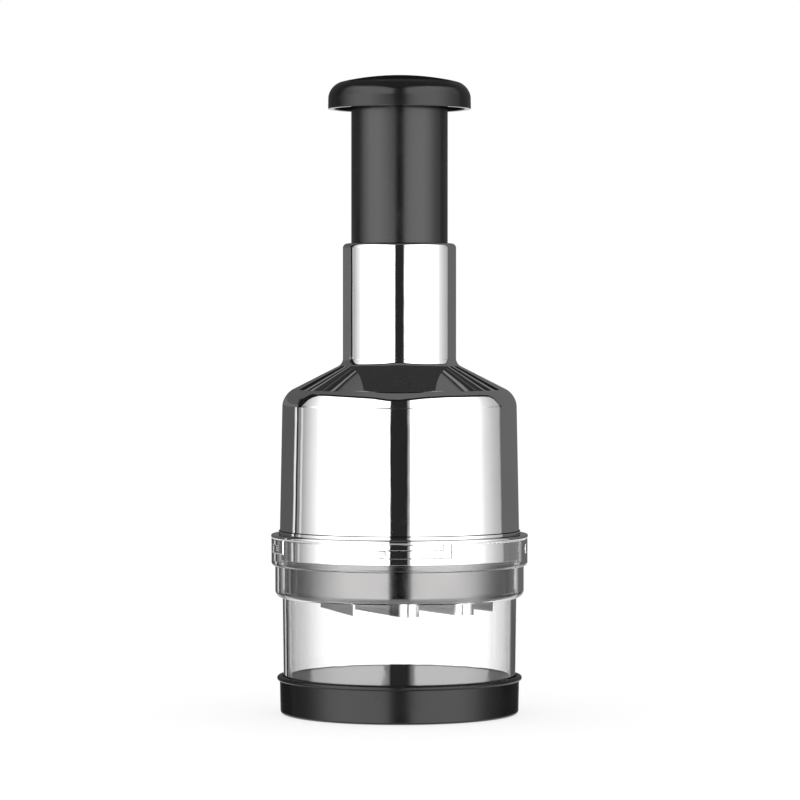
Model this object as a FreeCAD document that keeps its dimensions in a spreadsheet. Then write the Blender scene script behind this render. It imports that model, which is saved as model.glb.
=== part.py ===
import FreeCAD, Part
import os
import re
import Sketcher

# Plunger food chopper. The origin is the centre of the tray's underside, +Z is up and -Y is the front.
# A black tray carries a clear cup. The plated housing locks on the cup with four lugs and guides a
# hollow stem with a domed knob. The stem pushes a zigzag blade through the slotted floor of the guard,
# a spring lifts it again, and a grooved spindle turns blade and guard a little on each press.

doc = FreeCAD.newDocument("food_chopper")

# Driving sizes in millimetres and degrees.
SIZES = [
    ("floor_height", 13.6, "chopping floor above the table"),
    ("lip_wall", 0.85, "tray wall outside the groove"),
    ("tray_flare", 0.25, "tray wall grows by this towards the lip"),
    ("tray_wall", 2.0, "moulded wall of the tray"),
    ("tray_corner", 1.2, "rounding at the foot"),
    ("foot_width", 3.3, "flat ring that the tray stands on"),
    ("groove_depth", 7.7, "groove for the cup, below the floor"),
    ("lip_height", 0.1, "lip above the floor"),
    ("bead_reach", 0.95, "bead of the lip stands out by this"),
    ("bead_height", 1.7, "height of the bead"),
    ("tray_rib", 1.5, "rib under the floor"),
    ("tray_rib_drop", 2.4, "rib hangs this far below the floor's underside"),
    ("tray_rib_count", 6, "ribs under the floor"),
    ("fit_gap", 0.3, "clearance of pieces that lift or slide apart"),
    ("run_gap", 0.1, "clearance of a sliding bearing"),
    ("pin_gap", 0.05, "clearance of a turning pin"),
    ("seat_gap", 0.1, "clearance under a piece that rests"),
    ("set_gap", 0.02, "clearance of a pressed or moulded-in piece"),
    ("cup_radius", 41.85, "cup wall at its lower rim"),
    ("cup_flare", 0.4, "cup wall grows by this towards the collars"),
    ("cup_wall", 2.15, "clear wall"),
    ("chamber_height", 37.0, "lower rim to the inner ledge"),
    ("neck_drop", 1.0, "lower collar starts this far below the ledge"),
    ("lower_collar_wall", 2.5, "wall of the lower collar"),
    ("lower_collar_height", 10.4, "ledge to the upper collar"),
    ("lower_collar_round", 2.5, "rounded foot of the lower collar"),
    ("upper_collar_wall", 2.75, "wall of the upper collar"),
    ("upper_collar_height", 10.0, "height of the upper collar"),
    ("upper_collar_round", 1.3, "rounded foot of the upper collar"),
    ("cup_edge", 0.4, "softened edges of the cup"),
    ("sheet", 0.75, "steel sheet of the housing"),
    ("skirt_step", 0.95, "skirt of the housing outside the chamber's wall"),
    ("skirt_depth", 7.5, "skirt below the brim"),
    ("shoulder_draft", 1.0, "housing narrows by this up to its shoulder"),
    ("shell_rise", 51.55, "brim to the shoulder's corner"),
    ("cone_angle", 27.0, "slope of the shoulder"),
    ("shoulder_round", 7.0, "rounded shoulder"),
    ("neck_height", 43.35, "neck above the slope"),
    ("neck_round", 3.0, "hollow round between slope and neck"),
    ("mouth_round", 1.6, "rounded top of the neck"),
    ("mouth_gap", 0.35, "rim of the neck stays clear of the stem"),
    ("brim_overhang", 0.15, "brim outside the upper collar"),
    ("brim_height", 1.3, "thickness of the brim"),
    ("brim_collar", 2.7, "brim ring against the housing"),
    ("brim_collar_wall", 0.35, "wall of the ring above the brim"),
    ("lug_radius", 1.3, "bayonet lug"),
    ("lug_reach", 1.3, "lug stands out of the skirt by this"),
    ("lug_drop", 3.65, "lug below the brim"),
    ("lug_angle", -97.9, "first lug, measured from +X"),
    ("channel_round", 0.5, "rounded corners of the bayonet grooves"),
    ("lug_count", 4, "lugs and grooves"),
    ("twist", 30.0, "turn from locked to open"),
    ("guard_step", 1.8, "guard cup inside the skirt's radius"),
    ("guard_side_gap", 1.0, "guard inside the lower collar"),
    ("guard_height", 13.4, "visible band of the guard"),
    ("guard_floor", 2.5, "slotted floor"),
    ("guard_wall", 2.2, "wall of the band"),
    ("guard_corner", 1.6, "rounded foot of the band"),
    ("spigot_wall", 1.6, "guard inside the frame"),
    ("spigot_height", 5.3, "spigot above the band"),
    ("spigot_root", 2.2, "spigot below the band's top"),
    ("snap_reach", 0.7, "snap bead on the spigot"),
    ("snap_height", 1.2, "height of the snap bead"),
    ("snap_rise", 3.2, "snap bead above the band"),
    ("slot_gap", 0.5, "blade in the guard's slot"),
    ("stroke", 23.5, "travel of the knob"),
    ("turn_per_stroke", 45.0, "turn of the blade in one press"),
    ("blade_gap", 0.3, "pressed blade above the chopping floor"),
    ("blade_thickness", 0.9, "steel strip"),
    ("blade_angle", 24.0, "blade at rest, turned from the front"),
    ("blade_bend", 3.5, "bend of the strip, at its middle"),
    ("end_bend_inset", 9.02, "outer back bends, inside the holder's edge"),
    ("end_bend_angle", 39.8, "outer back bends, from the back"),
    ("front_bend_inset", 4.68, "front bends, inside the holder's edge"),
    ("front_bend_angle", 18.8, "front bends, from the front"),
    ("middle_bend_inset", 8.5, "middle back bend, inside the holder's edge"),
    ("blade_end_inset", 2.36, "free ends, inside the holder's edge"),
    ("blade_end_angle", 51.2, "free ends, from the front"),
    ("slot_depth", 3.0, "blade set in the holder"),
    ("holder_side_gap", 2.2, "blade holder inside the guard"),
    ("holder_gap", 1.0, "pressed holder above the guard's floor"),
    ("holder_plate", 4.5, "disc of the holder"),
    ("holder_rib", 2.0, "ribs on the holder"),
    ("holder_rib_height", 7.0, "height of the holder's ribs"),
    ("holder_rib_count", 6, "ribs on the holder"),
    ("boss_radius", 9.0, "boss of the holder"),
    ("boss_height", 15.0, "boss above the disc"),
    ("hub_pin_radius", 1.25, "cross pin"),
    ("hub_pin_rise", 9.0, "cross pin above the disc"),
    ("deck_gap", 10.0, "room above the boss"),
    ("deck", 2.5, "deck of the frame"),
    ("frame_wall", 1.7, "ring wall of the frame"),
    ("frame_flange", 9.0, "thick foot of the frame"),
    ("frame_rib", 1.6, "ribs on the deck"),
    ("frame_rib_height", 5.0, "height of the ribs on the deck"),
    ("frame_rib_count", 8, "ribs on the deck"),
    ("barrel_wall", 1.2, "barrel round the stem"),
    ("sleeve_length", 27.6, "bearing sleeve"),
    ("sleeve_wall", 2.07, "wall of the bearing sleeve"),
    ("key_width", 3.0, "key ribs in the barrel"),
    ("key_height", 0.5, "key ribs stand inwards by this"),
    ("tower_gap", 1.6, "lower step of the tower inside the stem"),
    ("tower_height", 27.5, "tower up to the spring's seat"),
    ("tower_wall", 2.0, "wall of the tower's foot"),
    ("tower_roof", 3.0, "roof of the tower's foot"),
    ("tower_top_height", 20.0, "upper step above the spring's seat"),
    ("pocket_wall", 1.3, "wall round the pocket for nut and ratchet"),
    ("pocket_depth", 8.0, "depth of that pocket"),
    ("nut_height", 3.5, "index nut"),
    ("tooth_height", 0.8, "ratchet tooth"),
    ("tooth_width", 1.4, "width of a ratchet tooth"),
    ("tooth_count", 8, "teeth of the ratchet"),
    ("nut_pin_radius", 1.0, "pins that run in the grooves"),
    ("cap_height", 1.6, "tower cap"),
    ("cap_spigot", 0.6, "cap in the pocket"),
    ("stem_radius", 17.4, "stem"),
    ("stem_wall", 2.0, "wall of the stem"),
    ("flange_gap", 0.22, "stop flange inside the barrel"),
    ("stem_flange_height", 3.5, "height of the stop flange"),
    ("stem_length", 88.55, "stem from flange to top"),
    ("end_wall", 4.0, "wall across the stem"),
    ("end_wall_drop", 4.5, "end wall below the stem's top"),
    ("spring_bar", 0.9, "radius of the spring's wire"),
    ("spring_inset", 1.8, "wire's middle inside the tower's step"),
    ("spring_play", 1.6, "spring outside the tower's top"),
    ("spring_turns", 11, "turns of the spring"),
    ("washer", 0.8, "spring washers"),
    ("spindle_radius", 4.0, "spindle"),
    ("spindle_neck", 2.5, "spindle through the end wall"),
    ("groove_width", 2.4, "helical grooves"),
    ("groove_cut", 1.2, "depth of the helical grooves"),
    ("groove_spare", 6.0, "groove beyond the stroke"),
    ("spindle_washer_radius", 5.0, "washer on the end wall"),
    ("screw_radius", 1.5, "spindle screw"),
    ("screw_head", 3.4, "head of the spindle screw"),
    ("screw_head_height", 1.6, "height of that head"),
    ("screw_length", 10.0, "thread of the spindle screw"),
    ("knob_reach", 8.35, "knob's rim outside the stem"),
    ("knob_taper", 0.15, "knob narrows by this above the rim"),
    ("knob_height", 12.15, "rim to the top"),
    ("knob_wall", 2.2, "wall of the knob"),
    ("knob_plate", 4.0, "knob above the stem"),
    ("crown_radius", 94.0, "domed top"),
    ("knob_round", 6.0, "rounded edge of the dome"),
    ("socket_wall", 2.0, "socket round the stem"),
    ("socket_recess", 1.5, "socket above the rim"),
    ("knob_screw_circle", 10.0, "circle of the knob screws"),
    ("knob_screw_radius", 1.25, "knob screw"),
    ("knob_screw_head", 2.4, "head of the knob screw"),
    ("knob_screw_sink", 2.0, "head sunk in the end wall"),
    ("knob_screw_length", 8.0, "knob screw above its head"),
    ("knob_boss", 3.0, "screw boss of the knob"),
]

# Heights and radii that follow from the driving sizes, in the order in which they build on each other.
LEVELS = [
    ("groove_floor", "floor_height - groove_depth"),
    ("lip_top", "floor_height + lip_height"),
    ("bead_foot", "lip_top - bead_height"),
    ("cup_bore", "cup_radius - cup_wall"),
    ("chamber_bore", "cup_bore + cup_flare"),
    ("chamber_radius", "cup_radius + cup_flare"),
    ("platform_radius", "cup_bore - fit_gap"),
    ("lip_bore", "cup_radius + fit_gap"),
    ("tray_radius", "lip_bore + lip_wall"),
    ("tray_top_radius", "tray_radius + tray_flare"),
    ("foot_inner", "tray_radius - tray_corner - foot_width"),
    ("cup_foot", "groove_floor + seat_gap"),
    ("cup_ledge", "cup_foot + chamber_height"),
    ("upper_collar_foot", "cup_ledge + lower_collar_height"),
    ("cup_rim", "upper_collar_foot + upper_collar_height"),
    ("brim_foot", "cup_rim + seat_gap"),
    ("skirt_foot", "brim_foot - skirt_depth"),
    ("skirt_radius", "chamber_radius + skirt_step"),
    ("shoulder_radius", "skirt_radius - shoulder_draft"),
    ("guard_radius", "skirt_radius - guard_step"),
    ("lower_bore", "guard_radius + guard_side_gap"),
    ("lower_collar_radius", "lower_bore + lower_collar_wall"),
    ("upper_bore", "skirt_radius + fit_gap"),
    ("upper_collar_radius", "upper_bore + upper_collar_wall"),
    ("brim_radius", "upper_collar_radius + brim_overhang"),
    ("upper_ledge", "skirt_foot - 2 * fit_gap"),
    ("lug_height", "brim_foot - lug_drop"),
    ("lug_tip", "skirt_radius + lug_reach"),
    ("lug_span", "asin((lug_radius + fit_gap) / skirt_radius) / 1deg"),
    ("shell_inside", "skirt_radius - sheet"),
    ("shoulder_height", "brim_foot + shell_rise"),
    ("sleeve_bore", "stem_radius + run_gap"),
    ("sleeve_radius", "sleeve_bore + sleeve_wall"),
    ("neck_radius", "sleeve_radius + seat_gap + sheet"),
    ("neck_foot", "shoulder_height + (shoulder_radius - neck_radius) * tan(cone_angle * 1deg)"),
    ("neck_top", "neck_foot + neck_height"),
    ("miter", "sheet * tan((90deg - cone_angle * 1deg) / 2)"),
    ("guard_foot", "cup_ledge + fit_gap"),
    ("guard_floor_top", "guard_foot + guard_floor"),
    ("guard_top", "guard_foot + guard_height"),
    ("guard_bore", "guard_radius - guard_wall"),
    ("holder_radius", "guard_bore - holder_side_gap"),
    ("spigot_bore", "guard_bore - spigot_wall"),
    ("spigot_top", "guard_top + spigot_height"),
    ("snap_foot", "guard_top + snap_rise"),
    ("frame_foot", "guard_top + fit_gap"),
    ("frame_bore", "guard_bore + fit_gap"),
    ("frame_radius", "frame_bore + frame_wall"),
    ("flange_radius", "shell_inside - seat_gap"),
    ("blade_foot", "floor_height + blade_gap + stroke"),
    ("holder_foot", "guard_floor_top + holder_gap + stroke"),
    ("blade_top", "holder_foot + slot_depth"),
    ("holder_top", "holder_foot + holder_plate"),
    ("boss_top", "holder_top + boss_height"),
    ("hub_pin_height", "holder_top + hub_pin_rise"),
    ("deck_foot", "boss_top + deck_gap"),
    ("deck_top", "deck_foot + deck"),
    ("spring_seat_height", "deck_top + tower_height"),
    ("tower_top", "spring_seat_height + tower_top_height"),
    ("stem_bore", "stem_radius - stem_wall"),
    ("tower_radius", "stem_bore - tower_gap"),
    ("spring_radius", "tower_radius - spring_inset"),
    ("tower_top_radius", "spring_radius - spring_bar - spring_play"),
    ("tower_bore", "spindle_radius + fit_gap"),
    ("pocket_radius", "tower_top_radius - pocket_wall"),
    ("pocket_floor", "tower_top - pocket_depth"),
    ("sleeve_top", "neck_top - sheet - seat_gap"),
    ("barrel_top", "sleeve_top - sleeve_length"),
    ("barrel_bore", "sleeve_radius - barrel_wall"),
    ("stem_flange_radius", "barrel_bore - flange_gap"),
    ("stem_flange", "stem_flange_radius - stem_radius"),
    ("stem_flange_top", "barrel_top - seat_gap"),
    ("stem_foot", "stem_flange_top - stem_flange_height"),
    ("stem_top", "stem_foot + stem_length"),
    ("end_wall_top", "stem_top - end_wall_drop"),
    ("end_wall_foot", "end_wall_top - end_wall"),
    ("upper_washer_foot", "end_wall_foot - washer"),
    ("lower_washer_top", "spring_seat_height + washer"),
    ("spring_length", "upper_washer_foot - lower_washer_top"),
    ("neck_pin_radius", "spindle_neck + pin_gap"),
    ("spindle_top", "end_wall_top + pin_gap"),
    ("nut_radius", "pocket_radius - set_gap"),
    ("nut_top", "pocket_floor + nut_height"),
    ("nut_pin_height", "pocket_floor + nut_height / 2"),
    ("nut_pin_tip", "spindle_radius - groove_cut + fit_gap"),
    ("cap_spigot_foot", "tower_top - cap_spigot"),
    ("ratchet_foot", "nut_top + tooth_height + seat_gap"),
    ("ratio", "turn_per_stroke / stroke"),
    ("groove_foot", "nut_pin_height - groove_spare"),
    ("groove_length", "stroke + 2 * groove_spare"),
    ("knob_top", "stem_top + knob_plate"),
    ("knob_rim", "knob_top - knob_height"),
    ("knob_radius", "stem_radius + knob_reach"),
    ("knob_side", "knob_radius - knob_taper"),
    ("crown_centre", "knob_top - crown_radius"),
    ("crown_edge", "crown_centre + sqrt(crown_radius ^ 2 - knob_side ^ 2)"),
    ("knob_inside", "knob_radius - knob_wall"),
    ("socket_bore", "stem_radius + set_gap"),
    ("socket_radius", "socket_bore + socket_wall"),
    ("socket_ceiling", "crown_centre + sqrt(crown_radius ^ 2 - socket_radius ^ 2) - knob_wall"),
    ("knob_ceiling", "crown_edge - 1.3 * knob_wall"),
    ("end_bend_side", "(holder_radius - end_bend_inset) * sin(end_bend_angle * 1deg)"),
    ("end_bend_depth", "(holder_radius - end_bend_inset) * cos(end_bend_angle * 1deg)"),
    ("front_bend_side", "(holder_radius - front_bend_inset) * sin(front_bend_angle * 1deg)"),
    ("front_bend_depth", "(holder_radius - front_bend_inset) * cos(front_bend_angle * 1deg)"),
    ("middle_bend_depth", "holder_radius - middle_bend_inset"),
    ("blade_end_side", "(holder_radius - blade_end_inset) * sin(blade_end_angle * 1deg)"),
    ("blade_end_depth", "(holder_radius - blade_end_inset) * cos(blade_end_angle * 1deg)"),
]

NAMES = {name: "Sizes" for name, _, _ in SIZES}
NAMES.update({name: "Levels" for name, _ in LEVELS})


def formula(text):
    """Turns the names in a formula into references to the two sheets."""

    def place(word):
        name = word[0]
        return f"{NAMES[name]}.{name}" if name in NAMES else name

    return re.sub(r"[a-z]\w*", place, str(text))


def fill_sheets():
    sizes = doc.addObject("Spreadsheet::Sheet", "Sizes")
    for row, (name, value, meaning) in enumerate(SIZES, 1):
        sizes.set(f"A{row}", meaning)
        sizes.set(f"B{row}", str(value))
        sizes.setAlias(f"B{row}", name)
    levels = doc.addObject("Spreadsheet::Sheet", "Levels")
    for row, (name, text) in enumerate(LEVELS, 1):
        levels.set(f"A{row}", name.replace("_", " "))
        levels.set(f"B{row}", "=" + formula(text))
        levels.setAlias(f"B{row}", name)
    doc.recompute()
    return sizes


sheet = fill_sheets()


def number(text):
    """The present value of a formula."""
    return float(sheet.evalExpression(formula(text)))


# ---- sketches and features ----


def origin_part(body, role):
    return next(part for part in body.Origin.OriginFeatures if part.Role == role)


def lay_on(body, feature, role):
    feature.AttachmentSupport = [(origin_part(body, role), "")]
    feature.MapMode = "FlatFace"


def hold(sketch, kind, *where):
    """Adds one constraint whose value is the formula given last."""
    index = sketch.addConstraint(Sketcher.Constraint(kind, *where[:-1], number(where[-1])))
    sketch.setExpression(f"Constraints[{index}]", formula(where[-1]))


def draw(sketch, corners):
    """Closes a straight-sided outline through corners that are pairs of formulas."""
    spots = [FreeCAD.Vector(number(x), number(y), 0) for x, y in corners]
    for spot, following in zip(spots, spots[1:] + spots[:1]):
        sketch.addGeometry(Part.LineSegment(spot, following), False)
    for side in range(len(spots)):
        sketch.addConstraint(Sketcher.Constraint("Coincident", side, 2, (side + 1) % len(spots), 1))
    for side, (x, y) in enumerate(corners):
        hold(sketch, "DistanceX", side, 1, x)
        hold(sketch, "DistanceY", side, 1, y)


def turned(label, corners):
    """A body of revolution about Z, from an outline of (radius, height) corners."""
    body = doc.addObject("PartDesign::Body", label)
    sketch = body.newObject("Sketcher::SketchObject", f"{label}_outline")
    lay_on(body, sketch, "XZ_Plane")
    draw(sketch, corners)
    revolution = body.newObject("PartDesign::Revolution", f"{label}_turned")
    revolution.Profile = sketch
    revolution.ReferenceAxis = (sketch, ["V_Axis"])
    revolution.Angle = 360
    doc.recompute()
    return body


def is_rim(edge, radius, height):
    """Whether an edge is a level circle about Z with this radius at this height."""
    if edge.Degenerated or not isinstance(edge.Curve, Part.Circle):
        return False
    centre = edge.Curve.Center
    off = max(abs(edge.Curve.Radius - radius), abs(centre.z - height), abs(centre.x), abs(centre.y))
    return off < 1e-4


def soften(body, radius, *rims):
    """Fillets the circular edges at the given (radius, height) places."""
    base = body.Tip
    edges = []
    for r, z in rims:
        place = number(r), number(z)
        found = [f"Edge{n}" for n, edge in enumerate(base.Shape.Edges, 1) if is_rim(edge, *place)]
        if not found:
            raise RuntimeError(f"{body.Name} has no rim at {r}, {z}")
        edges += found
    fillet = body.newObject("PartDesign::Fillet", f"{body.Name}_round")
    fillet.Base = (base, edges)
    fillet.setExpression("Radius", formula(radius))
    body.Tip = fillet
    doc.recompute()


def bar(body, label, span, width, heights):
    """Pads an upright block that runs along +X from one radius to another."""
    sketch = body.newObject("Sketcher::SketchObject", f"{label}_outline")
    lay_on(body, sketch, "XZ_Plane")
    (near, far), (low, high) = span, heights
    draw(sketch, [(near, low), (far, low), (far, high), (near, high)])
    pad = body.newObject("PartDesign::Pad", label)
    pad.Profile = sketch
    pad.Midplane = True
    pad.setExpression("Length", formula(width))
    body.Tip = pad
    doc.recompute()
    return pad


def drum(body, label, kind, radius, height, foot, angle="360", start="0", middle="0"):
    """Adds or cuts an upright cylinder, or a sector of one, at a height, an angle and a radius."""
    feature = body.newObject(f"PartDesign::{kind}Cylinder", label)
    lay_on(body, feature, "XY_Plane")
    feature.setExpression("Radius", formula(radius))
    feature.setExpression("Height", formula(height))
    feature.setExpression("Angle", formula(angle))
    feature.setExpression("AttachmentOffset.Base.x", formula(middle))
    feature.setExpression("AttachmentOffset.Base.z", formula(foot))
    feature.AttachmentOffset.Rotation = FreeCAD.Rotation(FreeCAD.Vector(0, 0, 1), 0)
    feature.setExpression("AttachmentOffset.Rotation.Angle", formula(start))
    body.Tip = feature
    doc.recompute()
    return feature


def repeat(body, features, count):
    pattern = body.newObject("PartDesign::PolarPattern", f"{features[0].Name}_all")
    pattern.Originals = features
    pattern.Axis = (origin_part(body, "Z_Axis"), [""])
    pattern.Angle = 360
    pattern.setExpression("Occurrences", formula(count))
    body.Tip = pattern
    doc.recompute()


def rod(label, radius, length, foot, angle=None):
    """A cylinder that stands on Z at the height foot, or lies along a direction at (radius, height)."""
    cylinder = doc.addObject("Part::Cylinder", label)
    cylinder.setExpression("Radius", formula(radius))
    cylinder.setExpression("Height", formula(length))
    if angle is None:
        cylinder.setExpression("Placement.Base.z", formula(foot))
        return cylinder
    start, height = foot
    turn = number(angle)
    cylinder.Placement = FreeCAD.Placement(FreeCAD.Vector(), FreeCAD.Rotation(turn, 90, 0))
    cylinder.setExpression("Placement.Base.x", formula(f"({start}) * cos(({angle}) * 1deg)"))
    cylinder.setExpression("Placement.Base.y", formula(f"({start}) * sin(({angle}) * 1deg)"))
    cylinder.setExpression("Placement.Base.z", formula(height))
    return cylinder


def group(label, solids):
    compound = doc.addObject("Part::Compound", label)
    compound.Links = solids
    return compound


def cut(label, base, tool):
    result = doc.addObject("Part::Cut", label)
    result.Base = base
    result.Tool = tool
    return result


# ---- base ----


def base_tray():
    """Tray with a raised chopping floor, a groove that takes the cup's rim and a beaded lip."""
    ceiling = "floor_height - tray_wall"
    web = "groove_floor - tray_wall"
    hollow = "platform_radius - tray_wall"
    tray = turned("base_tray", [
        ("0", "floor_height"),
        ("platform_radius", "floor_height"),
        ("platform_radius", "groove_floor"),
        ("lip_bore", "groove_floor"),
        ("lip_bore", "lip_top"),
        ("tray_top_radius + bead_reach", "lip_top"),
        ("tray_top_radius + bead_reach", "bead_foot"),
        ("tray_top_radius", "bead_foot"),
        ("tray_radius", "0"),
        ("foot_inner", "0"),
        ("foot_inner", web),
        (hollow, web),
        (hollow, ceiling),
        ("0", ceiling),
    ])
    soften(tray, "tray_corner", ("tray_radius", "0"))
    bead = "tray_top_radius + bead_reach"
    soften(tray, "bead_height * 0.48", (bead, "lip_top"), (bead, "bead_foot"))
    soften(tray, "bead_height * 0.25", ("platform_radius", "floor_height"), ("lip_bore", "lip_top"))
    rib = bar(tray, "tray_rib_one", ("tray_wall", f"{hollow} + tray_wall / 2"), "tray_rib",
              (f"{ceiling} - tray_rib_drop", f"{ceiling} + tray_wall / 2"))
    repeat(tray, [rib], "tray_rib_count")
    drum(tray, "tray_hub", "Additive", "3 * tray_wall", "tray_rib_drop + tray_wall / 2",
         f"{ceiling} - tray_rib_drop")
    return tray


# ---- cup ----


def clear_cup():
    """Clear wall with two stepped collars; the upper one holds the bayonet grooves."""
    cup = turned("clear_cup", [
        ("cup_bore", "cup_foot"),
        ("cup_radius", "cup_foot"),
        ("chamber_radius", "cup_ledge - neck_drop"),
        ("lower_collar_radius", "cup_ledge - neck_drop"),
        ("lower_collar_radius", "upper_collar_foot"),
        ("upper_collar_radius", "upper_collar_foot"),
        ("upper_collar_radius", "cup_rim"),
        ("upper_bore", "cup_rim"),
        ("upper_bore", "upper_ledge"),
        ("lower_bore", "upper_ledge"),
        ("lower_bore", "cup_ledge"),
        ("chamber_bore", "cup_ledge"),
    ])
    soften(cup, "lower_collar_round", ("lower_collar_radius", "cup_ledge - neck_drop"))
    soften(cup, "upper_collar_round", ("upper_collar_radius", "upper_collar_foot"))
    soften(cup, "cup_edge", ("upper_collar_radius", "cup_rim"), ("upper_bore", "cup_rim"),
           ("chamber_bore", "cup_ledge"), ("cup_radius", "cup_foot"), ("cup_bore", "cup_foot"))
    depth = "lug_tip + fit_gap"
    foot = "lug_height - lug_radius - fit_gap"
    width = "2 * (lug_radius + fit_gap)"
    channel = drum(cup, "bayonet_channel", "Subtractive", depth, width, foot,
                   "twist + 2 * lug_span", "lug_angle - lug_span")
    entry = drum(cup, "bayonet_entry", "Subtractive", depth, f"cup_rim + fit_gap - ({foot})", foot,
                 "2 * lug_span", "lug_angle + twist - lug_span")
    repeat(cup, [channel, entry], "lug_count")
    soften(cup, "channel_round", (depth, foot), (depth, f"{foot} + {width}"))
    return cup


# ---- housing ----


def lug_rods(label, start, length, gap):
    """Radial rods at the lugs' places, for the lugs themselves or for their holes."""
    rods = []
    for index in range(int(number("lug_count"))):
        angle = f"lug_angle + {index} * 360 / lug_count"
        place = start, "lug_height"
        rods.append(rod(f"{label}_{index + 1}", f"lug_radius + {gap}", length, place, angle))
    return group(label, rods)


def bayonet_lugs():
    """Four studs through the skirt and the frame's foot."""
    return lug_rods("bayonet_lugs", "frame_radius - seat_gap", "lug_tip - frame_radius + seat_gap", "0")


def steel_shell(lug_holes):
    """Drawn sheet: skirt, body, sloping shoulder and neck, its top turned in over the sleeve."""
    rim = "sleeve_bore - run_gap + mouth_gap"
    shell = turned("steel_shell_drawn", [
        ("shell_inside", "skirt_foot"),
        ("skirt_radius", "skirt_foot"),
        ("skirt_radius", "brim_foot + brim_collar"),
        ("shoulder_radius", "shoulder_height"),
        ("neck_radius", "neck_foot"),
        ("neck_radius", "neck_top"),
        (rim, "neck_top"),
        (rim, "neck_top - sheet"),
        ("neck_radius - sheet", "neck_top - sheet"),
        ("neck_radius - sheet", "neck_foot - miter"),
        ("shoulder_radius - sheet", "shoulder_height - miter"),
        ("shell_inside", "brim_foot + brim_collar"),
    ])
    soften(shell, "shoulder_round", ("shoulder_radius", "shoulder_height"))
    soften(shell, "shoulder_round - sheet", ("shoulder_radius - sheet", "shoulder_height - miter"))
    soften(shell, "neck_round", ("neck_radius", "neck_foot"))
    soften(shell, "neck_round + sheet", ("neck_radius - sheet", "neck_foot - miter"))
    soften(shell, "mouth_round", ("neck_radius", "neck_top"))
    return cut("steel_shell", shell, lug_holes)


def trim_ring():
    """Brim that closes the joint between cup and housing."""
    bore = "skirt_radius + set_gap"
    ring = turned("trim_ring", [
        (bore, "brim_foot"),
        ("brim_radius", "brim_foot"),
        ("brim_radius", "brim_foot + brim_height"),
        (f"{bore} + brim_collar_wall", "brim_foot + brim_height"),
        (f"{bore} + brim_collar_wall", "brim_foot + brim_collar"),
        (bore, "brim_foot + brim_collar"),
    ])
    soften(ring, "brim_height * 0.45", ("brim_radius", "brim_foot"),
           ("brim_radius", "brim_foot + brim_height"))
    return ring


def inner_frame(lug_holes):
    """Moulded frame: thick foot, ring wall, deck, barrel round the stem and stepped middle tower."""
    frame = turned("inner_frame_moulded", [
        ("frame_bore", "frame_foot"),
        ("flange_radius", "frame_foot"),
        ("flange_radius", "frame_foot + frame_flange"),
        ("frame_radius", "frame_foot + frame_flange"),
        ("frame_radius", "deck_top"),
        ("sleeve_radius", "deck_top"),
        ("sleeve_radius", "barrel_top"),
        ("barrel_bore", "barrel_top"),
        ("barrel_bore", "deck_top"),
        ("tower_radius", "deck_top"),
        ("tower_radius", "spring_seat_height"),
        ("tower_top_radius", "spring_seat_height"),
        ("tower_top_radius", "tower_top"),
        ("pocket_radius", "tower_top"),
        ("pocket_radius", "pocket_floor"),
        ("tower_bore", "pocket_floor"),
        ("tower_bore", "spring_seat_height - tower_roof"),
        ("tower_radius - tower_wall", "spring_seat_height - tower_roof"),
        ("tower_radius - tower_wall", "deck_foot"),
        ("frame_bore", "deck_foot"),
        ("frame_bore", "snap_foot + snap_height + fit_gap"),
        ("frame_bore + snap_reach", "snap_foot + snap_height + fit_gap"),
        ("frame_bore + snap_reach", "snap_foot - fit_gap"),
        ("frame_bore", "snap_foot - fit_gap"),
    ])
    rib = bar(frame, "deck_rib", ("sleeve_radius - barrel_wall / 2", "frame_radius - seat_gap"),
              "frame_rib", ("deck_top - deck / 2", "deck_top + frame_rib_height"))
    repeat(frame, [rib], "frame_rib_count")
    key = bar(frame, "barrel_key", ("barrel_bore - key_height", "barrel_bore + barrel_wall / 2"),
              "key_width", ("deck_top - deck / 2", "barrel_top"))
    repeat(frame, [key], "2")
    return cut("inner_frame", frame, lug_holes)


def guide_sleeve():
    """Bearing sleeve for the stem, on top of the barrel."""
    return turned("guide_sleeve", [
        ("sleeve_bore", "barrel_top"),
        ("sleeve_radius", "barrel_top"),
        ("sleeve_radius", "sleeve_top"),
        ("sleeve_bore", "sleeve_top"),
    ])


TOOTH_SPAN = ("tower_bore + fit_gap", "nut_radius - fit_gap")
GROOVE_ANGLES = (0, 180)


def index_nut():
    """Nut in the tower's pocket, with ratchet teeth on top and two pins in the spindle's grooves."""
    nut = turned("index_nut_ring", [
        ("tower_bore", "pocket_floor"),
        ("nut_radius", "pocket_floor"),
        ("nut_radius", "nut_top"),
        ("tower_bore", "nut_top"),
    ])
    tooth = bar(nut, "nut_tooth", TOOTH_SPAN, "tooth_width",
                ("nut_top - tooth_height", "nut_top + tooth_height"))
    repeat(nut, [tooth], "tooth_count")
    length = "nut_radius - nut_pin_tip - seat_gap"
    start = ("nut_pin_tip", "nut_pin_height")
    fused = doc.addObject("Part::MultiFuse", "index_nut")
    fused.Shapes = [nut] + [
        rod(f"nut_pin_{angle}", "nut_pin_radius", length, start, str(angle)) for angle in GROOVE_ANGLES
    ]
    return fused


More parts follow.
